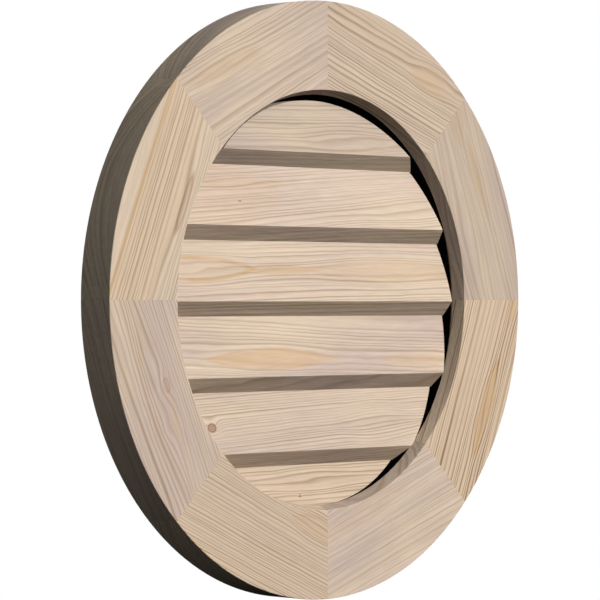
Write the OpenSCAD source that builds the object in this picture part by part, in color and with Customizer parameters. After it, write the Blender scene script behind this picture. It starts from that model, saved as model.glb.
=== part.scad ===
// Round louvred gable vent.
// A mitred pine face frame lies on the wall. A plywood collar behind it fits the round wall opening.
// Bevelled slats are screwed to two notched stringers inside the collar, and a screen closes the back.
// Origin at the centre of the wall plane. +X is right as seen from the front, +Y goes into the wall.

/* [Face frame] */
// Outside diameter of the face frame
frame_d = 584; // [540:1:680]
// Width of the face, from the opening to the rim
face_w = 87; // [80:0.5:110]
// Thickness of the frame, from the wall to its face
frame_t = 38.5; // [35:0.5:44]
// Thickness of the lip round the opening
lip_t = 13; // [12:0.5:16]
// How much the opening narrows from the lip's face to its back
lip_taper = 4; // [2:0.5:6]
// How far the pocket behind the lip reaches past the opening
lip_overhang = 17; // [14:0.5:24]
// Chamfer on the front edges
edge_ease = 0.4; // [0.2:0.1:2]

/* [Collar] */
// Wall thickness of the collar
collar_wall = 19; // [16:0.5:24]
// How far the collar reaches into the wall
collar_out = 22; // [20:0.5:36]
// How far the collar's foot stands out past its wall
foot_w = 5; // [3:0.5:8]
// Thickness of the foot, let into the back of the frame
foot_t = 6; // [4:0.5:8]

/* [Slats] */
// Height of the top slat that shows, at its middle
top_slat_h = 51.7; // [46:0.1:60]
// Height from the lowest bevelled edge that shows to the foot of the slats
bottom_slat_h = 54.7; // [48:0.1:64]
// Thickness of a slat
slat_t = 15; // [12:0.5:17]
// Air gap between the back of a slat and the face of the next one
air_gap = 1.4; // [0.8:0.1:4]
// Height of the bevelled lower edge of a slat
bevel_h = 14.4; // [11:0.1:16]
// How far a slat runs up behind the lower edge of the one above
slat_lap = 21.5; // [18:0.5:24]
// Depth of the slats' lower front edges behind the face of the frame
slat_set = 11; // [8:0.5:12]
// Room between the slat ends and the lip at the sides; at the foot they all but touch it
slat_inset = 3; // [2:0.1:6]

/* [Stringers] */
// Width of a stringer across the slats
stringer_w = 19; // [16:0.5:24]
// Distance from the ends of the top slat's lower edge in to the middle of a stringer
stringer_inset = 38.8; // [34:0.1:50]

/* [Insect screen] */
// Thickness of the screen cloth
screen_t = 1; // [0.5:0.1:2]
// Margin from the screen's edge to the collar's rim
screen_margin = 5; // [3:0.5:8]

/* [Joinery] */
// Length of a mitre biscuit, along the mitre
biscuit_l = 56; // [46:1:60]
// Width of a mitre biscuit, across the mitre
biscuit_w = 23; // [18:1:26]
// Thickness of a mitre biscuit
biscuit_t = 4; // [3:0.5:5]
// Shank diameter of the screws
screw_d = 4.2; // [3.5:0.1:5]
// Head diameter of the screws
screw_head_d = 8; // [7:0.1:9]
// Depth that a frame screw bites into the frame
screw_bite = 17; // [12:0.5:22]
// Wood left between a slat screw's point and the slat's face
slat_cover = 5; // [4:0.5:6]
// Width of the square recess in a screw's head
drive_w = 2.8; // [2.4:0.1:3.2]
// Depth of the recess in a screw's head
drive_depth = 2; // [1.5:0.1:2.5]
// Clearance round pieces that fit into one another
fit = 0.2; // [0.1:0.05:0.4]

/* [Hidden] */
$fn = 96;
segment_count = 8;
slat_count = 6;
segment_angle = 360 / segment_count;
cut_over = 1;
head_sink = 0.4;
screw_point = 5;

// Radii, from the rim inwards and then along the collar
frame_r = frame_d / 2;
opening_r = frame_r - face_w;
pocket_r = opening_r + lip_overhang;
collar_r = pocket_r + collar_wall;
foot_r = collar_r + foot_w;
lip_r = opening_r - lip_taper;
slat_r = opening_r - lip_taper * slat_set / lip_t - slat_inset;
slat_drop = slat_inset - fit;
screen_r = collar_r - screen_margin;

// The slats lean back from upright far enough to leave the air gap between them
slat_pitch = (2 * slat_r - top_slat_h - bottom_slat_h) / (slat_count - 2);
slat_lean = asin((slat_t + air_gap) / slat_pitch);

// Section of a slat, in depth (Y) and height above its lower front edge
tip_y = -frame_t + slat_set;
slat_h = slat_pitch - bevel_h + slat_lap;
function face_y(z) = tip_y + z * tan(slat_lean);
function back_y(z) = face_y(z) + slat_t / cos(slat_lean);
back_top = slat_h - slat_t * sin(slat_lean);

// Height of a slat's lower front edge: slat 1 is the top one
function tip_z(i) = slat_r - slat_drop - top_slat_h - slat_pitch * (i - 1);

// Part of a slat's height that is screwed to a stringer
top_slat_half = sqrt(slat_r ^ 2 - (slat_r - top_slat_h) ^ 2);
stringer_x = top_slat_half - stringer_inset;
stringer_reach = stringer_x + stringer_w / 2;
slat_half = sqrt(slat_r ^ 2 - stringer_reach ^ 2);
function seat_low(i) = max(tip_z(i) + slat_h - slat_pitch, -slat_drop - slat_half);
function seat_high(i) = min(tip_z(i) + back_top, -slat_drop + slat_half);
function slat_screw_z(i) = (seat_low(i) + seat_high(i)) / 2;
function slat_screw_tip(i) = face_y(slat_screw_z(i) - tip_z(i)) + slat_cover;

// Screws
frame_screw_l = collar_out + foot_t + screw_bite;
slat_screw_l = collar_out - slat_screw_tip(slat_count) - 2 * head_sink;
collar_screw_r = (pocket_r + collar_r) / 2;
stringer_screw_y = collar_out - stringer_w / 2;
stringer_screw_z = sqrt(collar_r ^ 2 - (stringer_x + screw_head_d / 2 + fit) ^ 2) - head_sink;

// Mitre biscuits lie halfway between the foot's rebate and the face
biscuit_r = (pocket_r + frame_r) / 2;
biscuit_y = -(foot_t + frame_t) / 2;

pine = [0.82, 0.73, 0.63];
pale_pine = [0.87, 0.79, 0.71];
beech = [0.78, 0.62, 0.45];
black_paint = [0.06, 0.06, 0.06];
black_mesh = [0.03, 0.03, 0.03];
zinc = [0.72, 0.70, 0.62];

// Turns a shape drawn with Z as its height to face out of the wall, along -Y
module face_out() {
    rotate([90, 0, 0])
        children();
}

// Turns a shape drawn in depth and height into a bar along X
module along_x(length) {
    rotate([90, 0, 90])
        linear_extrude(length, center = true)
            children();
}

// Solid round of a radius, its axis along Y
module round_y(r, z = 0) {
    translate([0, 0, z])
        face_out()
            cylinder(r = r, h = 2 * frame_d, center = true);
}

// Outline of a countersunk screw along +Z with its head flush at Z = 0; grow makes the hole for it
module screw_form(length, grow = 0) {
    head_r = screw_head_d / 2;
    shank_r = screw_d / 2;
    rotate_extrude()
        polygon([
            [0, -grow],
            [head_r + grow, -grow],
            [head_r + grow, 0],
            [shank_r + grow, head_r - shank_r],
            [shank_r + grow, length - screw_point],
            [0, length + grow]
        ]);
}

// Screw with a square recess in its head
module screw(length) {
    difference() {
        screw_form(length);
        cube([drive_w, drive_w, 2 * drive_depth], center = true);
    }
}

// Hole for a screw, open above its head for the given depth
module screw_hole(length, above = 0) {
    screw_form(length, fit);
    if (above > 0)
        translate([0, 0, -above])
            cylinder(r = screw_head_d / 2 + fit, h = above);
}

// Places children at each screw that ties the collar to the frame, pointing at the face
module at_collar_screws() {
    for (i = [0 : 2 * segment_count - 1])
        rotate([0, (i + 0.5) * segment_angle / 2, 0])
            translate([collar_screw_r, collar_out - head_sink, 0])
                rotate([90, 0, 0])
                    children();
}

// Places children at each screw that holds one slat, pointing at the face
module at_slat_screws(i) {
    for (side = [-1, 1])
        translate([side * stringer_x, slat_screw_tip(i) + slat_screw_l, slat_screw_z(i)])
            rotate([90, 0, 0])
                children();
}

// Places children at each screw through the collar into a stringer's ends, pointing inwards
module at_stringer_screws() {
    for (side = [-1, 1], end = [0, 180])
        rotate([0, end, 0])
            translate([side * stringer_x, stringer_screw_y, stringer_screw_z])
                rotate([180, 0, 0])
                    children();
}

// Pointed oval biscuit, lying across the mitre at angle 0; grow makes the slot for it
module biscuit_shape(grow = 0) {
    half_l = biscuit_l / 2;
    half_w = biscuit_w / 2;
    arc_r = (half_l ^ 2 + half_w ^ 2) / (2 * half_w);
    translate([biscuit_r, biscuit_y, 0])
        face_out()
            intersection_for (side = [-1, 1])
                translate([0, side * (arc_r - half_w), 0])
                    cylinder(r = arc_r + grow, h = biscuit_t + 2 * grow, center = true);
}

// Turns children to the start of segment i, counted clockwise from the top of the frame
module at_mitre(i) {
    rotate([0, (i - 1) * segment_angle - 90, 0])
        children();
}

// Section of the face frame: tapered lip, pocket, rebate for the collar's foot, eased front edges
module frame_section() {
    polygon([
        [foot_r + fit, 0],
        [frame_r, 0],
        [frame_r, frame_t - edge_ease],
        [frame_r - edge_ease, frame_t],
        [opening_r + edge_ease, frame_t],
        [opening_r, frame_t - edge_ease],
        [lip_r, frame_t - lip_t],
        [pocket_r, frame_t - lip_t],
        [pocket_r, foot_t],
        [foot_r + fit, foot_t]
    ]);
}

module frame_segment(i) {
    color(pine)
        difference() {
            at_mitre(i)
                face_out()
                    rotate([0, 0, -segment_angle])
                        rotate_extrude(angle = segment_angle)
                            frame_section();
            at_mitre(i)
                biscuit_shape(fit);
            at_mitre(i + 1)
                biscuit_shape(fit);
            at_collar_screws()
                screw_hole(frame_screw_l);
        }
}

module mitre_biscuit(i) {
    color(beech)
        at_mitre(i)
            biscuit_shape();
}

module collar_ring() {
    color(black_paint)
        difference() {
            face_out()
                rotate_extrude()
                    polygon([
                        [pocket_r, -collar_out],
                        [collar_r, -collar_out],
                        [collar_r, 0],
                        [foot_r, 0],
                        [foot_r, foot_t],
                        [pocket_r, foot_t]
                    ]);
            at_collar_screws()
                screw_hole(frame_screw_l, cut_over);
            at_stringer_screws()
                screw_hole(frame_screw_l, collar_wall);
        }
}

// Board with a bevelled lower edge, its ends cut to the round of the opening
module slat(i) {
    color(pale_pine)
        difference() {
            intersection() {
                translate([0, 0, tip_z(i)])
                    along_x(frame_d)
                        polygon([
                            [tip_y, 0],
                            [back_y(-bevel_h), -bevel_h],
                            [back_y(back_top), back_top],
                            [face_y(slat_h), slat_h]
                        ]);
                round_y(slat_r, -slat_drop);
            }
            at_slat_screws(i)
                screw_hole(slat_screw_l);
        }
}

// Depth and height where the stringer's front edge meets slat i, at a height above the slat's tip
function on_back(i, z) = [back_y(z), tip_z(i) + z];

// Rail behind the slats, notched so that each slat lies flat on it
module stringer(side) {
    foot_z = slat_h - slat_pitch + 2 * fit;
    teeth = [
        for (i = [slat_count : -1 : 2])
            each [
                on_back(i, i == slat_count ? -slat_pitch : foot_z),
                on_back(i, back_top + fit),
                [face_y(slat_h), tip_z(i) + slat_h + fit]
            ],
        on_back(1, foot_z),
        on_back(1, frame_r)
    ];
    color(black_paint)
        difference() {
            intersection() {
                translate([side * stringer_x, 0, 0])
                    along_x(stringer_w)
                        polygon(concat(
                            [[collar_out, tip_z(slat_count) - slat_pitch]],
                            teeth,
                            [[collar_out, tip_z(1) + frame_r]]
                        ));
                round_y(pocket_r - fit);
            }
            for (i = [1 : slat_count])
                at_slat_screws(i)
                    screw_hole(slat_screw_l, collar_out - slat_screw_tip(i) - slat_screw_l + cut_over);
            at_stringer_screws()
                screw_hole(frame_screw_l);
        }
}

module insect_screen() {
    color(black_mesh)
        translate([0, collar_out + screen_t, 0])
            face_out()
                cylinder(r = screen_r, h = screen_t);
}

module collar_screws() {
    color(zinc)
        at_collar_screws()
            screw(frame_screw_l);
}

module slat_screws() {
    color(zinc)
        for (i = [1 : slat_count])
            at_slat_screws(i)
                screw(slat_screw_l);
}

module stringer_screws() {
    color(zinc)
        at_stringer_screws()
            screw(frame_screw_l);
}

for (i = [1 : segment_count]) {
    frame_segment(i);
    mitre_biscuit(i);
}
for (i = [1 : slat_count])
    slat(i);
collar_ring();
stringer(-1);  // stringer_left
stringer(1);  // stringer_right
insect_screen();
collar_screws();
slat_screws();
stringer_screws();
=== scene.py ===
"""Looks of a round gable vent: planed pine, a black collar and an insect screen, in a studio."""
import math
from typing import NamedTuple

import bmesh
import bpy
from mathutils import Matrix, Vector


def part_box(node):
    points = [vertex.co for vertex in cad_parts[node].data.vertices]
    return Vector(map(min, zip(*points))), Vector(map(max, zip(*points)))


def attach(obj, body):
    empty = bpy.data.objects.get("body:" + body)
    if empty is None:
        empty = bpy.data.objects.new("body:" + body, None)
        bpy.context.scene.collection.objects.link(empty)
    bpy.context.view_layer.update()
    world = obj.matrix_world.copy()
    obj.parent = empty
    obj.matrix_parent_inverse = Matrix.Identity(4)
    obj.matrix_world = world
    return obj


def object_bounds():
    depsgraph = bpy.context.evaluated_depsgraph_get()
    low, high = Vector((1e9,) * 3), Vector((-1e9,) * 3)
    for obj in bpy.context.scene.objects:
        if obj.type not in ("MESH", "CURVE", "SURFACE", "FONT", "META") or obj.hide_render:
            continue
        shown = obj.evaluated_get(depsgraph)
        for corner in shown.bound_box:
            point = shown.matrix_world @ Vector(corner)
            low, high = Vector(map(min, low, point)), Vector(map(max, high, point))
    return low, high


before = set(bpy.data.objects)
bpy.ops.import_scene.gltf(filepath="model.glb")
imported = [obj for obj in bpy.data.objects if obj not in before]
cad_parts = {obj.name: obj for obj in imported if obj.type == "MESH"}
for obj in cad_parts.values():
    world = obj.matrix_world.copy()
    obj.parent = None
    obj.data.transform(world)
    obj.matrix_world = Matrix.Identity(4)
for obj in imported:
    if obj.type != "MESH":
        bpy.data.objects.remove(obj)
cad_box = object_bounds()

bl_info = {
    "name": "Round Gable Vent",
    "version": (1, 0, 0),
    "blender": (4, 5, 0),
    "location": "3D View > Sidebar > Vent",
    "description": "Finishes a round wooden gable vent and sets it in a studio",
    "category": "Object",
}

MM = 0.001
BODY = "root"
WHITE = (1.0, 1.0, 1.0, 1.0)

# Places and sizes that come from the frame
SEGMENT_NAMES = [f"frame_segment_{number}" for number in range(1, 9)]
SLAT_NAMES = [f"slat_{number}" for number in range(1, 7)]
RIM_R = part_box("frame_segment_1")[1][2]
FACE_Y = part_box("frame_segment_1")[0][1]
SLAT_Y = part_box("slat_2")[0][1]
SLAT_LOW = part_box("slat_2")[0][2]
SLAT_PITCH = SLAT_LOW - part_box("slat_3")[0][2]
SLAT_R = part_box("slat_3")[1][0]
SCREEN_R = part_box("insect_screen")[1][0]
SCREEN_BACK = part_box("insect_screen")[1][1]
# The bevel on a slat's lower edge, and how far the slats lean back
BEVEL_H = 14.4 * MM
SLAT_LEAN = math.radians(13.04)

# Pine: how often each pattern repeats in a metre along, into and across a board
FADES_PER_M = (4.0, 26.0, 26.0)
BLUSHES_PER_M = (5.0, 17.0, 17.0)
FIBRES_PER_M = (38.0, 900.0, 900.0)
# Pine: bends and wavers in a metre across a board, and how much fewer there are along it
BENDS_PER_M = 8.0
WAVERS_PER_M = 70.0
BEND_STRETCH = (0.35, 1.0, 1.0)
# Pine: streaks in a metre along the board and out from the pith, and good and bad years
STREAKS_ALONG_PER_M, STREAKS_OUT_PER_M = 7.0, 320.0
YEARS_PER_M = 80.0
# Pine: how far a line wavers, and by how many rings good and bad years shift it
WAVER = 1.3 * MM
YEAR_SHIFT = 3.0
# Pine: how far behind the planed face the sawn edges start
SAWN_FROM, SAWN_TO = 0.5 * MM, 1.5 * MM
# Pine: painted tints of the sawn edges, warm bounced light in the opening and greyer light outside,
# and where across a board one gives way to the other
INNER_PAINTED_BOUNCE, OUTER_PAINTED_GREY_LIGHT = (1.0, 0.97, 0.93), (0.98, 1.02, 1.03)
OUTER_FROM, OUTER_TO = 5 * MM, 20 * MM
# Pine: darkness through one year's growth, and from the middle of a knot to its rim
YEAR_STOPS = [(0.0, 0.2), (0.1, 0.0), (0.5, 0.04), (0.78, 0.7), (0.9, 1.0), (1.0, 0.2)]
KNOT_STOPS = [(0.0, 0.6), (0.5, 0.5), (0.75, 0.9), (1.0, 0.0)]
# Steps that move the patterns of one board away from those of the next
SEED_STEPS = (1.37, 0.61, 0.93)
STREAK_SEED_STEP = 3.1

# Paint and plating: brush marks and spots of film in a metre
BRUSH_MARKS_PER_M = (60.0, 400.0, 60.0)
FILM_SPOTS_PER_M = 900.0

# Staples: distance from the screen's rim, and how crookedly they were driven
STAPLE_INSET = 7 * MM
STAPLE_TILTS = (math.radians(-7.0), math.radians(9.0), math.radians(9.0))
# Staples: the crown's thickness, its height over the screen and its rounding, over the wire's width
CROWN_FLATNESS, CROWN_LIFT, WIRE_ROUNDING = 0.7, 0.3, 0.22

# Lights: name, place and size in m, and whether only the boards are lit, with no shadows
LIGHTS = (
    ("key", (6.1, -8.3, 6.1), 4.7, True),
    ("top", (0.4, -5.0, 4.4), 2.6, True),
    ("front", (0.0, -6.0, 0.8), 2.0, True),
    ("side", (-5.0, -1.5, 0.8), 3.0, False),
    ("back", (3.6, 4.8, 0.4), 2.5, False),
)
FLOOR_SIZE = 30.0
FLOOR_GAP = 0.5 * MM
SENSOR_WIDTH = 36.0


class Lens(NamedTuple):
    """A flat-sawn spot on a board's face, with lengths in mm from the board's middle.

    spread: how far the lines are pushed apart. inside, rim: how honey-coloured it is there.
    """

    along: float
    across: float
    half_length: float
    half_width: float
    spread: float
    inside: float
    rim: float


class Knot(NamedTuple):
    """A small knot, with lengths in mm from the board's middle; slimness is width over length."""

    along: float = 0.0
    across: float = 0.0
    half_width: float = 0.01
    slimness: float = 1.0
    darkness: float = 0.0


class BoardLook(NamedTuple):
    """How one board was cut from its log, with lengths in mm.

    pith: how far the log's heart lies behind the face and beside the middle, and where it surfaces.
    ring, swirl, lines: width of a year's growth, size of the bends and darkness of the lines.
    tone, edge: brightness of the planed face and the sawn edges behind it, partly painted shade and
    light.
    sap: distance from the pith at which the sapwood starts.
    """

    pith: tuple
    ring: float
    swirl: float
    lines: float
    blush: float
    tone: float
    edge: float
    lenses: tuple = ()
    knot: Knot = Knot()
    sap: float = 1000.0


class Lie(NamedTuple):
    """Where a board's face has its middle, how the board is turned, and its seed."""

    centre: tuple = (0.0, 0.0, 0.0)
    turn: tuple = (0.0, 0.0, 0.0)
    seed: int = 0


# Each row: pith, ring, swirl, lines, blush, tone, edge, and then its lenses and knot
# Face and edge brightness in these rows are partly painted shade and light; the first two segments,
# upper right, are darker as painted shade of the light falling off to the right
SEGMENT_LOOKS = (
    BoardLook((150, -150, 4000), 2.5, 10, 1.0, 0.4, 0.93, 0.92, (
        Lens(0, 22, 400, 20, 0.6, 0.15, 0), Lens(56, 19, 32, 8, 0.6, 0.4, 0.3))),
    BoardLook((150, -180, -4000), 4.0, 14, 0.6, 1.0, 0.87, 1.05, (
        Lens(-30, 12, 50, 6, 0.4, 0.4, 0), Lens(20, -20, 90, 16, 0.6, 0, 0),
        Lens(-110, 2, 50, 14, 0, 0.3, 0))),
    BoardLook((150, -150, 6000), 3.2, 10, 1.4, 0.0, 1.01, 1.0, (
        Lens(0, 0, 600, 400, 0, 0.2, 0), Lens(12, 18, 52, 9, 0.75, 0.75, 0.95),
        Lens(-110, 20, 30, 6, 0.4, 0.6, 0.8))),
    BoardLook((150, 150, 4000), 3.1, 8, 0.55, 1.0, 1.03, 0.82, (
        Lens(40, -30, 90, 12, 0.4, 0.12, 0),)),
    BoardLook((150, -150, -4000), 2.2, 8, 1.0, 0.3, 1.0, 1.0, (
        Lens(0, 0, 600, 400, 0, 0.12, 0), Lens(-75, -34, 40, 10, 0.6, 0.35, 0.6))),
    BoardLook((150, 150, -4000), 3.1, 10, 0.68, 1.0, 0.98, 0.95, (
        Lens(-10, 0, 90, 14, 0.7, 0, 0.3), Lens(-29, -5, 14, 5, 0.3, 0.25, 0)),
        Knot(11, -12, 4.0, 0.6, 0.3)),
    BoardLook((150, -153, 9000), 3.2, 6, 0.85, 0.0, 0.99, 0.85, (
        Lens(0, 0, 600, 28, 0, 0.22, 0), Lens(0, 26, 300, 2.5, 0, 0.75, 0)),
        Knot(8, -29.5, 3.6, 0.13, 0.55), sap=234),
    BoardLook((150, -150, 3000), 3.5, 10, 0.6, 0.8, 0.97, 0.87, (
        Lens(-45, 13, 58, 9, 0.5, 0.28, 0.1),)),
)
SLAT_LOOKS = (
    # The first slat is darker all over: painted shade from the frame's top rim
    BoardLook((150, -150, 2500), 3.6, 12, 0.6, 1.0, 0.86, 0.88, (
        Lens(40, 14, 60, 10, 0.7, 0, 0.25),)),
    BoardLook((150, -150, 1800), 3.1, 14, 0.65, 0.6, 1.03, 0.93, (
        Lens(150, 20, 90, 12, 0.5, 0, 0), Lens(-170, 30, 130, 50, 0, 0.16, 0),
        Lens(-105, 44, 60, 5, 0.6, 0.3, 0.45)), Knot(-106, 24, 1.0, 0.6, 0.8)),
    BoardLook((150, -150, 6000), 3.4, 9, 0.64, 0.5, 1.0, 0.93, (
        Lens(-165, 32, 80, 11, 0.85, 0.15, 0.9), Lens(-45, 31, 50, 4.5, 0.4, 0.55, 0.55),
        Lens(110, 31, 115, 11, 0.8, 0.28, 0.45))),
    BoardLook((150, 150, 6000), 3.1, 8, 0.55, 0.9, 0.98, 0.88, (
        Lens(-62, 17, 88, 9, 0.75, 0.6, 0.7), Lens(150, 15, 60, 6, 0.6, 0.3, 0.3))),
    BoardLook((150, -150, 3000), 2.2, 10, 0.75, 0.7, 0.97, 0.84, (
        Lens(90, 24, 50, 14, 0.5, 0, 0),), Knot(-143, 26, 4.0, 0.8, 1.0)),
    BoardLook((150, -150, 6000), 3.5, 10, 1.2, 0.2, 0.93, 0.84, (
        Lens(0, 44, 60, 8, 0.7, 0, 0), Lens(0, 0, 600, 400, 0, 0.15, 0)),
        Knot(-21, 29, 1.1, 0.7, 1.0)),
)
# Pressed beech has the same nodes as pine, with fine, faint lines
BEECH_LOOK = BoardLook((300, 0, 3000), 2.0, 4, 0.3, 1.0, 0.8, 0.8)


def linear(hex_colour):
    """Turns an sRGB hex colour into the linear values that shaders take."""
    values = []
    for start in (0, 2, 4):
        part = int(hex_colour[start:start + 2], 16) / 255
        values.append(part / 12.92 if part <= 0.04045 else ((part + 0.055) / 1.055) ** 2.4)
    return values


def rgba(colour, level=1.0):
    """Adds a full alpha to a colour, after making it level times as bright."""
    return (*(level * part for part in colour), 1.0)


def feed(tree, node, inputs):
    """Sets or links a node's inputs; a node given as a value stands for its first output."""
    for key, value in inputs.items():
        if isinstance(value, bpy.types.Node):
            value = value.outputs[0]
        if isinstance(value, bpy.types.NodeSocket):
            tree.links.new(value, node.inputs[key])
        else:
            node.inputs[key].default_value = value


def add(tree, kind, inputs=None, **settings):
    """Adds a node with its settings, and sets or links its inputs."""
    made = tree.nodes.new(kind)
    for key, value in settings.items():
        setattr(made, key, value)
    feed(tree, made, inputs or {})
    return made


def new_material(name):
    """Starts a node material: returns it, its tree, its shader and its object coordinates."""
    material = bpy.data.materials.new(name)
    material.use_nodes = True
    tree = material.node_tree
    shader = tree.nodes["Principled BSDF"]
    place = add(tree, "ShaderNodeTexCoord").outputs["Object"]
    return material, tree, shader, place


def ramp(made, stops):
    """Sets the stops of a colour ramp node, as places and grey levels."""
    steps = made.color_ramp.elements
    while len(steps) < len(stops):
        steps.new(0.5)
    for step, (position, level) in zip(steps, stops):
        step.position = position
        step.color = (level, level, level, 1.0)


def dress(node_name, material):
    """Gives a CAD node one material all over."""
    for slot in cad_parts[node_name].material_slots:
        slot.material = material


def draw_knot(tree, local, knot):
    """Draws a knot with a dark rim; returns its darkness and how far it pushes the rings aside."""
    reach = knot.half_width * MM
    offset = add(tree, "ShaderNodeVectorMath", {
        0: local, 1: (knot.along * MM, 0.0, knot.across * MM)}, operation="SUBTRACT")
    offset = add(tree, "ShaderNodeVectorMath", {
        0: offset, 1: (knot.slimness, 0.0, 1.0)}, operation="MULTIPLY")
    away = add(tree, "ShaderNodeVectorMath", {0: offset}, operation="LENGTH").outputs["Value"]
    push = add(tree, "ShaderNodeMapRange", {
        "Value": away, "From Max": 4 * reach, "To Min": 0.9 * reach, "To Max": 0.0},
        interpolation_type="SMOOTHERSTEP")
    share = add(tree, "ShaderNodeMath", {0: away, 1: 1.3 * reach}, operation="DIVIDE")
    core = add(tree, "ShaderNodeValToRGB", {"Fac": share})
    ramp(core, [(position, level * knot.darkness) for position, level in KNOT_STOPS])
    return core, push


def draw_lenses(tree, bent, waver, lenses):
    """Draws the long pointed lenses of rings that only just break a board's face.

    Returns the place across the board with its lines spread, the honey tint, and what is left of
    the lines inside.
    """
    across = bent.outputs["Z"]
    filled = rimmed = 0.0
    for lens in lenses:
        run = add(tree, "ShaderNodeMath", {
            0: bent.outputs["X"], 1: lens.along * MM}, operation="SUBTRACT")
        run = add(tree, "ShaderNodeMath", {0: run, 1: lens.half_length * MM}, operation="DIVIDE")
        off = add(tree, "ShaderNodeMath", {0: across, 1: lens.across * MM}, operation="SUBTRACT")
        rise = add(tree, "ShaderNodeMath", {0: off}, operation="ABSOLUTE")
        rise = add(tree, "ShaderNodeMath", {0: rise, 1: lens.half_width * MM}, operation="DIVIDE")
        # This is 1 on the lens's outline, which is pointed at both ends
        outline = add(tree, "ShaderNodeMath", {0: run, 1: run, 2: rise}, operation="MULTIPLY_ADD")
        pull = add(tree, "ShaderNodeMapRange", {
            "Value": outline, "From Max": 2.2, "To Min": -lens.spread, "To Max": 0.0},
            interpolation_type="SMOOTHSTEP")
        across = add(tree, "ShaderNodeMath", {
            0: off, 1: pull, 2: across}, operation="MULTIPLY_ADD")
        inside = add(tree, "ShaderNodeMapRange", {
            "Value": outline, "From Min": 0.75, "From Max": 1.1,
            "To Min": lens.inside, "To Max": 0.0}, interpolation_type="SMOOTHSTEP")
        filled = add(tree, "ShaderNodeMath", {0: filled, 1: inside}, operation="MAXIMUM")
        rim = add(tree, "ShaderNodeMath", {0: outline, 1: 1.0}, operation="SUBTRACT")
        rim = add(tree, "ShaderNodeMath", {0: rim}, operation="ABSOLUTE")
        rim = add(tree, "ShaderNodeMapRange", {
            "Value": rim, "From Max": 0.36, "To Min": lens.rim, "To Max": 0.0},
            interpolation_type="SMOOTHSTEP")
        rimmed = add(tree, "ShaderNodeMath", {0: rimmed, 1: rim}, operation="MAXIMUM")
    rim_fade = add(tree, "ShaderNodeMapRange", {
        "Value": waver, "From Min": 0.35, "From Max": 0.6, "To Min": 0.45, "To Max": 1.0})
    rimmed = add(tree, "ShaderNodeMath", {0: rimmed, 1: rim_fade}, operation="MULTIPLY")
    honey = add(tree, "ShaderNodeMath", {0: filled, 1: rimmed}, operation="MAXIMUM")
    plain = add(tree, "ShaderNodeMath", {0: filled, 1: -0.85, 2: 1.0}, operation="MULTIPLY_ADD")
    return across, honey, plain


def draw_rings(tree, radius, look, seed):
    """Draws the latewood lines, whose spacing and darkness vary from year to year."""
    years = add(tree, "ShaderNodeTexNoise", {
        "W": radius, "Scale": YEARS_PER_M, "Detail": 1.0}, noise_dimensions="1D")
    shift = add(tree, "ShaderNodeMath", {
        0: years.outputs["Fac"], 1: YEAR_SHIFT}, operation="MULTIPLY")
    phase = add(tree, "ShaderNodeMath", {
        0: radius, 1: 1.0 / (look.ring * MM), 2: shift}, operation="MULTIPLY_ADD")
    year = add(tree, "ShaderNodeMath", {0: phase, 1: seed}, operation="ADD")
    year = add(tree, "ShaderNodeMath", {0: year}, operation="FLOOR")
    growth = add(tree, "ShaderNodeTexWhiteNoise", {"W": year}, noise_dimensions="1D")
    growth = add(tree, "ShaderNodeMapRange", {
        "Value": growth.outputs["Value"], "To Min": 0.45 * look.lines, "To Max": look.lines})
    season = add(tree, "ShaderNodeMath", {0: phase}, operation="FRACT")
    latewood = add(tree, "ShaderNodeValToRGB", {"Fac": season})
    ramp(latewood, YEAR_STOPS)
    # The lines all but vanish in the sapwood
    heart = add(tree, "ShaderNodeMapRange", {
        "Value": radius, "From Min": look.sap * MM, "From Max": (look.sap + 4) * MM,
        "To Min": 1.0, "To Max": 0.15})
    strength = add(tree, "ShaderNodeMath", {0: growth, 1: heart}, operation="MULTIPLY")
    return add(tree, "ShaderNodeMath", {
        0: latewood.outputs["Color"], 1: strength}, operation="MULTIPLY")


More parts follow.
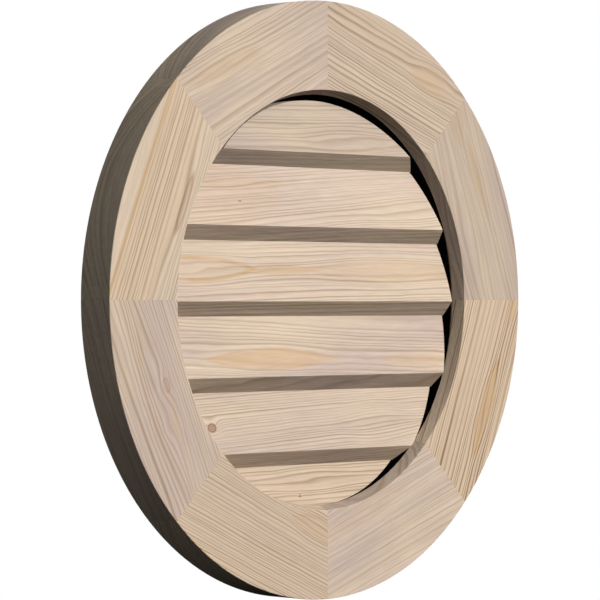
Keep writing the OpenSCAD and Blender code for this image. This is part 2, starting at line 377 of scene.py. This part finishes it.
def pine_board(name, look, lie, finish):
    """Planed, unfinished pine: pale earlywood with narrow tan latewood lines and small knots.

    The log's rings are drawn in depth, so the lines run on round every edge of the board.
    """
    material, tree, shader, place = new_material(name)
    local = add(tree, "ShaderNodeMapping", {
        "Vector": place, "Location": lie.centre, "Rotation": lie.turn}, vector_type="TEXTURE")
    own = add(tree, "ShaderNodeVectorMath", {
        0: local, 1: [lie.seed * step for step in SEED_STEPS]}, operation="ADD")
    # Slow bends along the board, and small wavers of single lines, about 15 mm long
    stretched = add(tree, "ShaderNodeVectorMath", {0: own, 1: BEND_STRETCH}, operation="MULTIPLY")
    bend = add(tree, "ShaderNodeTexNoise", {
        "Vector": stretched, "Scale": BENDS_PER_M, "Detail": 1.5, "Roughness": 0.4})
    bend = add(tree, "ShaderNodeVectorMath", {
        0: bend.outputs["Color"], 1: (0.5, 0.5, 0.5)}, operation="SUBTRACT")
    bend = add(tree, "ShaderNodeVectorMath", {
        0: bend, 1: (0.0, look.swirl * MM, look.swirl * MM)}, operation="MULTIPLY")
    bent = add(tree, "ShaderNodeVectorMath", {0: local, 1: bend}, operation="ADD")
    bent = add(tree, "ShaderNodeSeparateXYZ", {0: bent})
    waver = add(tree, "ShaderNodeTexNoise", {
        "Vector": stretched, "Scale": WAVERS_PER_M, "Detail": 1.0}).outputs["Fac"]
    knot, push = draw_knot(tree, local, look.knot)
    across, honey, plain = draw_lenses(tree, bent, waver, look.lenses)
    # Distance from the pith, with the rings flowing round the knot
    behind, beside, surfaces = look.pith
    depth = add(tree, "ShaderNodeMath", {
        0: bent.outputs["X"], 1: behind / surfaces, 2: bent.outputs["Y"]}, operation="MULTIPLY_ADD")
    section = add(tree, "ShaderNodeCombineXYZ", {"Y": depth, "Z": across})
    radius = add(tree, "ShaderNodeVectorMath", {
        0: section, 1: (0.0, behind * MM, beside * MM)}, operation="DISTANCE").outputs["Value"]
    push = add(tree, "ShaderNodeMath", {0: waver, 1: WAVER, 2: push}, operation="MULTIPLY_ADD")
    radius = add(tree, "ShaderNodeMath", {0: radius, 1: push}, operation="ADD")
    line = draw_rings(tree, radius, look, lie.seed)
    # Lines come and go along the board
    fade_space = add(tree, "ShaderNodeVectorMath", {0: own, 1: FADES_PER_M}, operation="MULTIPLY")
    fade = add(tree, "ShaderNodeTexNoise", {"Vector": fade_space, "Scale": 1.0, "Detail": 2.0})
    fade = add(tree, "ShaderNodeMapRange", {
        "Value": fade.outputs["Fac"], "From Min": 0.32, "From Max": 0.62,
        "To Min": 0.5, "To Max": 1.0})
    fade = add(tree, "ShaderNodeMath", {0: fade, 1: plain}, operation="MULTIPLY")
    line = add(tree, "ShaderNodeMath", {0: line, 1: fade}, operation="MULTIPLY")
    # Streaks about 3 mm wide that follow the rings, and fine fibres along the board
    streak_x = add(tree, "ShaderNodeMath", {
        0: bent.outputs["X"], 1: STREAKS_ALONG_PER_M}, operation="MULTIPLY")
    streak_r = add(tree, "ShaderNodeMath", {0: radius, 1: STREAKS_OUT_PER_M}, operation="MULTIPLY")
    streak_space = add(tree, "ShaderNodeCombineXYZ", {
        "X": streak_x, "Y": streak_r, "Z": lie.seed * STREAK_SEED_STEP})
    streak = add(tree, "ShaderNodeTexNoise", {
        "Vector": streak_space, "Scale": 1.0, "Detail": 3.0, "Roughness": 0.55}).outputs["Fac"]
    fibre_space = add(tree, "ShaderNodeVectorMath", {0: own, 1: FIBRES_PER_M}, operation="MULTIPLY")
    fibre = add(tree, "ShaderNodeTexNoise", {
        "Vector": fibre_space, "Scale": 1.0, "Detail": 3.0, "Roughness": 0.6}).outputs["Fac"]
    # The lenses belong to the planed face, and the sawn edges start behind it
    parts = add(tree, "ShaderNodeSeparateXYZ", {0: local})
    sawn = add(tree, "ShaderNodeMapRange", {
        "Value": parts.outputs["Y"], "From Min": SAWN_FROM, "From Max": SAWN_TO})
    planed = add(tree, "ShaderNodeMath", {0: 1.0, 1: sawn}, operation="SUBTRACT")
    honey = add(tree, "ShaderNodeMath", {0: honey, 1: planed}, operation="MULTIPLY")
    # Heartwood blush in broad bands, then the honey of the lenses, the lines and the knot
    blush_space = add(tree, "ShaderNodeVectorMath", {
        0: own, 1: BLUSHES_PER_M}, operation="MULTIPLY")
    blush = add(tree, "ShaderNodeTexNoise", {
        "Vector": blush_space, "Scale": 1.0, "Detail": 2.0, "Roughness": 0.5})
    blush = add(tree, "ShaderNodeMapRange", {
        "Value": blush.outputs["Fac"], "From Min": 0.35, "From Max": 0.68,
        "To Min": 0.0, "To Max": look.blush})
    colour = add(tree, "ShaderNodeMix", {
        "Factor": blush, "A": rgba(finish.earlywood), "B": rgba(finish.heartwood)},
        data_type="RGBA").outputs["Result"]
    for amount, tint in (
            (honey, finish.honey), (line, finish.latewood), (knot.outputs["Color"], finish.knot)):
        colour = add(tree, "ShaderNodeMix", {
            "Factor": amount, "A": colour, "B": rgba(tint)}, data_type="RGBA").outputs["Result"]
    # Sawn edges get a brightness of their own, set board by board: painted shade and light on the
    # opening's wall and the outer wall, warmer in the opening as painted bounced light and greyer
    # outside
    outside = add(tree, "ShaderNodeMapRange", {
        "Value": parts.outputs["Z"], "From Min": OUTER_FROM, "From Max": OUTER_TO})
    edge = add(tree, "ShaderNodeMix", {
        "Factor": outside, "A": rgba(INNER_PAINTED_BOUNCE, look.edge), "B": rgba(OUTER_PAINTED_GREY_LIGHT, look.edge)},
        data_type="RGBA").outputs["Result"]
    # The planed face's brightness, set board by board, is partly painted shade and light as well
    tone = add(tree, "ShaderNodeMix", {
        "Factor": sawn, "A": rgba(WHITE[:3], look.tone), "B": edge},
        data_type="RGBA").outputs["Result"]
    colour = add(tree, "ShaderNodeVectorMath", {0: colour, 1: tone}, operation="MULTIPLY")
    # Streaks and fibres are stronger where the saw has left the wood rough
    contrast = add(tree, "ShaderNodeMapRange", {"Value": sawn, "To Min": 0.4, "To Max": 0.7})
    shade = add(tree, "ShaderNodeMath", {0: streak, 1: fibre}, operation="ADD")
    shade = add(tree, "ShaderNodeMath", {0: shade, 1: 1.0}, operation="SUBTRACT")
    shade = add(tree, "ShaderNodeMath", {
        0: shade, 1: contrast, 2: 1.0}, operation="MULTIPLY_ADD")
    colour = add(tree, "ShaderNodeVectorMath", {0: colour, "Scale": shade}, operation="SCALE")
    # Latewood is harder: a little glossier, and proud of the rest after planing
    rough = add(tree, "ShaderNodeMapRange", {"Value": line, "To Min": 0.62, "To Max": 0.48})
    height = add(tree, "ShaderNodeMath", {0: fibre, 1: 0.5, 2: line}, operation="MULTIPLY_ADD")
    bump = add(tree, "ShaderNodeBump", {
        "Height": height, "Strength": 0.25, "Distance": 0.15 * MM})
    feed(tree, shader, {
        "Base Color": colour, "Roughness": rough, "Normal": bump,
        "IOR": 1.45, "Specular IOR Level": 0.25})
    return material


def black_paint_and_shade(name, finish):
    """Flat black paint on wood: brushed, dead matt, grain just telegraphing; near-black as painted
    shade.
    """
    material, tree, shader, place = new_material(name)
    streak_space = add(tree, "ShaderNodeVectorMath", {
        0: place, 1: BRUSH_MARKS_PER_M}, operation="MULTIPLY")
    streak = add(tree, "ShaderNodeTexNoise", {
        "Vector": streak_space, "Scale": 1.0, "Detail": 3.0}).outputs["Fac"]
    colour = add(tree, "ShaderNodeMix", {
        "Factor": streak, "A": rgba(finish.paint), "B": rgba(finish.paint_worn)},
        data_type="RGBA")
    rough = add(tree, "ShaderNodeMapRange", {"Value": streak, "To Min": 0.75, "To Max": 0.9})
    bump = add(tree, "ShaderNodeBump", {"Height": streak, "Strength": 0.4, "Distance": 0.2 * MM})
    feed(tree, shader, {
        "Base Color": colour.outputs["Result"], "Roughness": rough, "Normal": bump,
        "Specular IOR Level": 0.2})
    return material


def screen_cloth(name, finish):
    """Vinyl-coated fibreglass yarn in a plain weave: black, slightly glossy threads.

    The real pitch is about 1.4 mm, drawn coarser so that the weave shows. The gaps are drawn closed
    and near-black: painted shade where the screen would be open.
    """
    material, tree, shader, place = new_material(name)
    scaled = add(tree, "ShaderNodeVectorMath", {
        0: place, "Scale": math.pi / finish.weave_pitch}, operation="SCALE")
    axes = add(tree, "ShaderNodeSeparateXYZ", {0: scaled})
    waves = []
    for axis in ("X", "Z"):
        wave = add(tree, "ShaderNodeMath", {0: axes.outputs[axis]}, operation="SINE")
        waves.append(add(tree, "ShaderNodeMath", {0: wave}, operation="ABSOLUTE"))
    opening = add(tree, "ShaderNodeMath", {0: waves[0], 1: waves[1]}, operation="MULTIPLY")
    # The gaps are solid near-black: painted shade
    colour = add(tree, "ShaderNodeMix", {
        "Factor": opening, "A": rgba(finish.thread), "B": rgba(finish.gap)}, data_type="RGBA")
    bump = add(tree, "ShaderNodeBump", {
        "Height": opening, "Strength": 0.8, "Distance": 0.5 * MM}, invert=True)
    feed(tree, shader, {
        "Base Color": colour.outputs["Result"], "Normal": bump,
        "Roughness": 0.55, "Specular IOR Level": 0.25})
    return material


def plated_steel(name, finish):
    """Zinc-plated steel: a soft grey metal with a mottled, slightly yellow film."""
    material, tree, shader, place = new_material(name)
    film = add(tree, "ShaderNodeTexNoise", {
        "Vector": place, "Scale": FILM_SPOTS_PER_M, "Detail": 3.0}).outputs["Fac"]
    colour = add(tree, "ShaderNodeMix", {
        "Factor": film, "A": rgba(finish.zinc), "B": rgba(finish.zinc_film)}, data_type="RGBA")
    rough = add(tree, "ShaderNodeMapRange", {"Value": film, "To Min": 0.25, "To Max": 0.45})
    feed(tree, shader, {
        "Base Color": colour.outputs["Result"], "Roughness": rough, "Metallic": 1.0})
    return material


def pale_floor(name):
    """A plain pale sweep that looks white and throws little light back on the vent."""
    material, tree, _, _ = new_material(name)
    path = add(tree, "ShaderNodeLightPath")
    seen = add(tree, "ShaderNodeEmission", {"Color": WHITE, "Strength": 1.0})
    dark = add(tree, "ShaderNodeBsdfDiffuse", {"Color": (0.05, 0.05, 0.05, 1.0)})
    mixed = add(tree, "ShaderNodeMixShader", {
        0: path.outputs["Is Camera Ray"], 1: dark, 2: seen})
    feed(tree, tree.nodes["Material Output"], {"Surface": mixed})
    return material


def white_surroundings(scene, fill):
    """A world that is white to the eye and gives a low, even fill."""
    world = bpy.data.worlds.new("studio_surroundings")
    scene.world = world
    world.use_nodes = True
    tree = world.node_tree
    path = add(tree, "ShaderNodeLightPath")
    level = add(tree, "ShaderNodeMapRange", {
        "Value": path.outputs["Is Camera Ray"], "To Min": fill, "To Max": 1.0})
    feed(tree, tree.nodes["Background"], {"Color": WHITE, "Strength": level})


def colour_prop(name, description, hex_colour):
    """A colour property with an sRGB hex default."""
    return bpy.props.FloatVectorProperty(
        name=name, description=description, subtype="COLOR", size=3, min=0.0, max=1.0,
        default=linear(hex_colour))


class VentFinish(bpy.types.PropertyGroup):
    """Colours and pattern sizes of the vent's surfaces."""

    earlywood: colour_prop("Earlywood", "Pale wood between the ring lines", "DBC6AE")
    heartwood: colour_prop("Heartwood", "Pinkish bands in the pine", "CAB5A9")
    honey: colour_prop("Honey", "Yellow-brown lenses on the boards' faces", "CFAB80")
    latewood: colour_prop("Latewood", "Tan ring lines", "8A653F")
    knot: colour_prop("Knot", "Middle of a knot", "8A5C38")
    # Near-black paint, also painted shade for the recess behind the slats
    paint: colour_prop("Paint", "Flat black paint on the collar", "0B0B0B")
    paint_worn: colour_prop("Thin paint", "Black paint where it is brushed thin", "171615")
    thread: colour_prop("Thread", "Threads of the screen", "202020")
    # The gaps are drawn solid and near-black: painted shade
    gap: colour_prop("Mesh gap", "Gaps of the screen", "030303")
    zinc: colour_prop("Zinc", "Plating on the screws", "C9C4B4")
    zinc_film: colour_prop("Zinc film", "Yellow film on the plating", "BDAF86")
    weave_pitch: bpy.props.FloatProperty(
        name="Weave pitch", description="Distance between threads of the screen",
        default=2.6 * MM, min=0.5 * MM, unit="LENGTH")
    staple_count: bpy.props.IntProperty(
        name="Staples", description="Number of staples round the screen", default=16, min=4)
    staple_width: bpy.props.FloatProperty(
        name="Staple width", description="Length of a staple's crown",
        default=10 * MM, unit="LENGTH")
    staple_wire: bpy.props.FloatProperty(
        name="Staple wire", description="Thickness of a staple's wire",
        default=1.1 * MM, unit="LENGTH")
    staple_leg: bpy.props.FloatProperty(
        name="Staple leg", description="How deep a staple is driven",
        default=6 * MM, unit="LENGTH")


def power_prop(name, description, watts):
    """The power of a light."""
    return bpy.props.FloatProperty(
        name=name, description=description, default=watts, unit="POWER")


class VentStudio(bpy.types.PropertyGroup):
    """Camera and lights."""

    azimuth: bpy.props.FloatProperty(
        name="Azimuth", description="Turn of the camera, to the left of the face",
        default=math.radians(47.08), subtype="ANGLE")
    distance: bpy.props.FloatProperty(
        name="Distance", description="Camera to the middle of the face",
        default=10.79 * RIM_R, unit="LENGTH")
    lens: bpy.props.FloatProperty(
        name="Lens", description="Focal length in mm on a 36 mm sensor",
        default=193.5, unit="CAMERA")
    aim_left: bpy.props.FloatProperty(
        name="Aim", description="How far left of the middle of the face the camera aims",
        default=math.radians(0.494), subtype="ANGLE")
    key_power: power_prop("Key", "Power of the key light", 1040.0)
    top_power: power_prop("Top", "Power of the light above the face", 115.0)
    front_power: power_prop("Front", "Power of the light in front", 90.0)
    back_power: power_prop("Back", "Power of the light behind", 320.0)
    side_power: power_prop("Side", "Power of the weak light from the left", 24.0)
    fill: bpy.props.FloatProperty(
        name="Fill", description="Brightness of the surroundings", default=0.1)


def board_lies():
    """Where each frame segment and slat lies, in the order of their looks."""
    lies = {}
    middle_r = (RIM_R + SLAT_R) / 2
    for index, name in enumerate(SEGMENT_NAMES):
        turn = (index + 0.5) * math.tau / len(SEGMENT_NAMES)
        centre = (middle_r * math.sin(turn), FACE_Y, middle_r * math.cos(turn))
        lies[name] = Lie(centre, (0.0, turn, 0.0), index + 1)
    for index, name in enumerate(SLAT_NAMES):
        lower_edge = SLAT_LOW + BEVEL_H + SLAT_PITCH * (1 - index)
        lies[name] = Lie((0.0, SLAT_Y, lower_edge), (-SLAT_LEAN, 0.0, 0.0), index + 11)
    return lies


class VENT_OT_boards(bpy.types.Operator):
    """Give each frame segment and slat its own pine board"""

    bl_idname = "vent.boards"
    bl_label = "Pine Boards"

    def execute(self, context):
        finish = context.scene.vent_finish
        for (name, lie), look in zip(board_lies().items(), SEGMENT_LOOKS + SLAT_LOOKS):
            dress(name, pine_board(f"planed_pine_{name}", look, lie, finish))
        return {"FINISHED"}


class VENT_OT_black_parts(bpy.types.Operator):
    """Paint the collar and stringers flat black, also painted shade for the recess behind the slats
    """

    bl_idname = "vent.black_parts"
    bl_label = "Black Collar and Stringers"

    def execute(self, context):
        paint = black_paint_and_shade("flat_black_paint", context.scene.vent_finish)
        for name in ("collar_ring", "stringer_left", "stringer_right"):
            dress(name, paint)
        return {"FINISHED"}


class VENT_OT_screen(bpy.types.Operator):
    """Give the insect screen its weave"""

    bl_idname = "vent.screen"
    bl_label = "Insect Screen"

    def execute(self, context):
        dress("insect_screen", screen_cloth("fibreglass_screen", context.scene.vent_finish))
        return {"FINISHED"}


class VENT_OT_fasteners(bpy.types.Operator):
    """Finish the screws and the mitre biscuits"""

    bl_idname = "vent.fasteners"
    bl_label = "Screws and Biscuits"

    def execute(self, context):
        finish = context.scene.vent_finish
        steel = plated_steel("zinc_plated_steel", finish)
        for name in ("collar_screws", "slat_screws", "stringer_screws"):
            dress(name, steel)
        beech = pine_board("pressed_beech", BEECH_LOOK, Lie(), finish)
        for number in range(1, len(SEGMENT_NAMES) + 1):
            dress(f"mitre_biscuit_{number}", beech)
        return {"FINISHED"}


class VENT_OT_staples(bpy.types.Operator):
    """Staple the screen to the collar"""

    bl_idname = "vent.staples"
    bl_label = "Staples"

    def execute(self, context):
        finish = context.scene.vent_finish
        half = finish.staple_width / 2
        wire = finish.staple_wire
        # The crown is a flattened wire
        bpy.ops.object.select_all(action="DESELECT")
        bpy.ops.mesh.primitive_cube_add(size=1.0)
        staple = context.object
        bpy.ops.object.mode_set(mode="EDIT")
        bpy.ops.transform.resize(
            value=(2 * half, CROWN_FLATNESS * wire, wire), center_override=(0.0, 0.0, 0.0))
        for side in (-1, 1):
            bpy.ops.mesh.select_all(action="SELECT")
            bpy.ops.mesh.bisect(
                plane_co=(side * (half - wire), 0.0, 0.0), plane_no=(1.0, 0.0, 0.0))
        # The legs grow from the ends of the crown's underside
        bpy.ops.mesh.select_mode(type="FACE")
        bpy.ops.mesh.select_all(action="DESELECT")
        shape = bmesh.from_edit_mesh(staple.data)
        for face in shape.faces:
            at_end = abs(face.calc_center_median().x) > half - wire
            face.select_set(face.normal.y < -0.9 and at_end)
        bmesh.update_edit_mesh(staple.data)
        bpy.ops.mesh.extrude_region_move(
            TRANSFORM_OT_translate={"value": (0.0, -finish.staple_leg, 0.0)})
        bpy.ops.object.mode_set(mode="OBJECT")
        soften = staple.modifiers.new("soften", "BEVEL")
        soften.width = WIRE_ROUNDING * wire
        soften.segments = 2
        bpy.ops.object.modifier_apply(modifier=soften.name)
        # The rest are copies, and each is driven a little crooked
        staples = [staple]
        for _ in range(1, finish.staple_count):
            copy = staple.copy()
            copy.data = staple.data.copy()
            context.collection.objects.link(copy)
            staples.append(copy)
        ring_r = SCREEN_R - STAPLE_INSET
        crown_y = SCREEN_BACK + CROWN_LIFT * wire
        for index, piece in enumerate(staples):
            turn = index * math.tau / finish.staple_count
            tilt = STAPLE_TILTS[index % len(STAPLE_TILTS)]
            piece.location = (ring_r * math.cos(turn), crown_y, ring_r * math.sin(turn))
            piece.rotation_euler = (0.0, math.pi / 2 - turn + tilt, 0.0)
            piece.select_set(True)
        context.view_layer.objects.active = staple
        bpy.ops.object.transform_apply(location=True, rotation=True, scale=True)
        bpy.ops.object.join()
        staple.name = "screen_staples"
        staple.data.materials.append(plated_steel("galvanised_wire", finish))
        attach(staple, BODY)
        return {"FINISHED"}


def area_light(name, place, size, power, receivers=None):
    """Adds a square light that looks at the vent.

    With receivers, it lights only them and throws no shadows.
    """
    bpy.ops.object.light_add(type="AREA", location=place)
    lamp = bpy.context.object
    lamp.name = name
    lamp.data.size = size
    lamp.data.energy = power
    lamp.rotation_euler = (-Vector(place)).to_track_quat("-Z", "Y").to_euler()
    if receivers:
        lamp.data.use_shadow = False
        lamp.light_linking.receiver_collection = receivers


class VENT_OT_studio(bpy.types.Operator):
    """Build the pale floor, the soft light and the camera"""

    bl_idname = "vent.studio"
    bl_label = "Studio"

    def execute(self, context):
        studio = context.scene.vent_studio
        bpy.ops.object.select_all(action="DESELECT")
        bpy.ops.mesh.primitive_plane_add(
            size=FLOOR_SIZE, location=(0.0, 0.0, cad_box[0][2] - FLOOR_GAP))
        floor = context.object
        floor.name = "studio_floor"
        floor.data.materials.append(pale_floor("pale_floor"))
        white_surroundings(context.scene, studio.fill)
        boards = bpy.data.collections.new("lit_boards")
        for name in SEGMENT_NAMES + SLAT_NAMES:
            boards.objects.link(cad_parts[name])
        # The slats throw no light back on the opening's wall, which stays as dark as in a recess
        for name in SLAT_NAMES:
            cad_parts[name].visible_diffuse = False
        for name, place, size, boards_only in LIGHTS:
            power = getattr(studio, f"{name}_power")
            area_light(f"{name}_light", place, size, power, boards if boards_only else None)
        face = Vector((0.0, FACE_Y, 0.0))
        back = Vector((-math.sin(studio.azimuth), -math.cos(studio.azimuth), 0.0))
        bpy.ops.object.camera_add(location=face + back * studio.distance)
        camera = context.object
        camera.name = "photo_camera"
        camera.data.lens = studio.lens
        camera.data.sensor_width = SENSOR_WIDTH
        camera.rotation_euler = (math.pi / 2, 0.0, -studio.azimuth + studio.aim_left)
        context.scene.camera = camera
        return {"FINISHED"}


class VENT_PT_panel(bpy.types.Panel):
    """Lists the vent's properties and steps"""

    bl_label = "Round Gable Vent"
    bl_space_type = "VIEW_3D"
    bl_region_type = "UI"
    bl_category = "Vent"

    def draw(self, context):
        for group in (context.scene.vent_finish, context.scene.vent_studio):
            for key in group.bl_rna.properties.keys():
                if key not in ("rna_type", "name"):
                    self.layout.prop(group, key)
        for step in STEPS:
            self.layout.operator(step.bl_idname)


STEPS = (
    VENT_OT_boards, VENT_OT_black_parts, VENT_OT_screen,
    VENT_OT_fasteners, VENT_OT_staples, VENT_OT_studio)
CLASSES = (VentFinish, VentStudio, *STEPS, VENT_PT_panel)


def register():
    for kind in CLASSES:
        bpy.utils.register_class(kind)
    bpy.types.Scene.vent_finish = bpy.props.PointerProperty(type=VentFinish)
    bpy.types.Scene.vent_studio = bpy.props.PointerProperty(type=VentStudio)


def unregister():
    del bpy.types.Scene.vent_studio
    del bpy.types.Scene.vent_finish
    for kind in reversed(CLASSES):
        bpy.utils.unregister_class(kind)


def main():
    register()
    bpy.context.scene.view_settings.view_transform = "Standard"
    bpy.ops.vent.boards()
    bpy.ops.vent.black_parts()
    bpy.ops.vent.screen()
    bpy.ops.vent.fasteners()
    bpy.ops.vent.staples()
    bpy.ops.vent.studio()


if __name__ == "__main__":
    main()
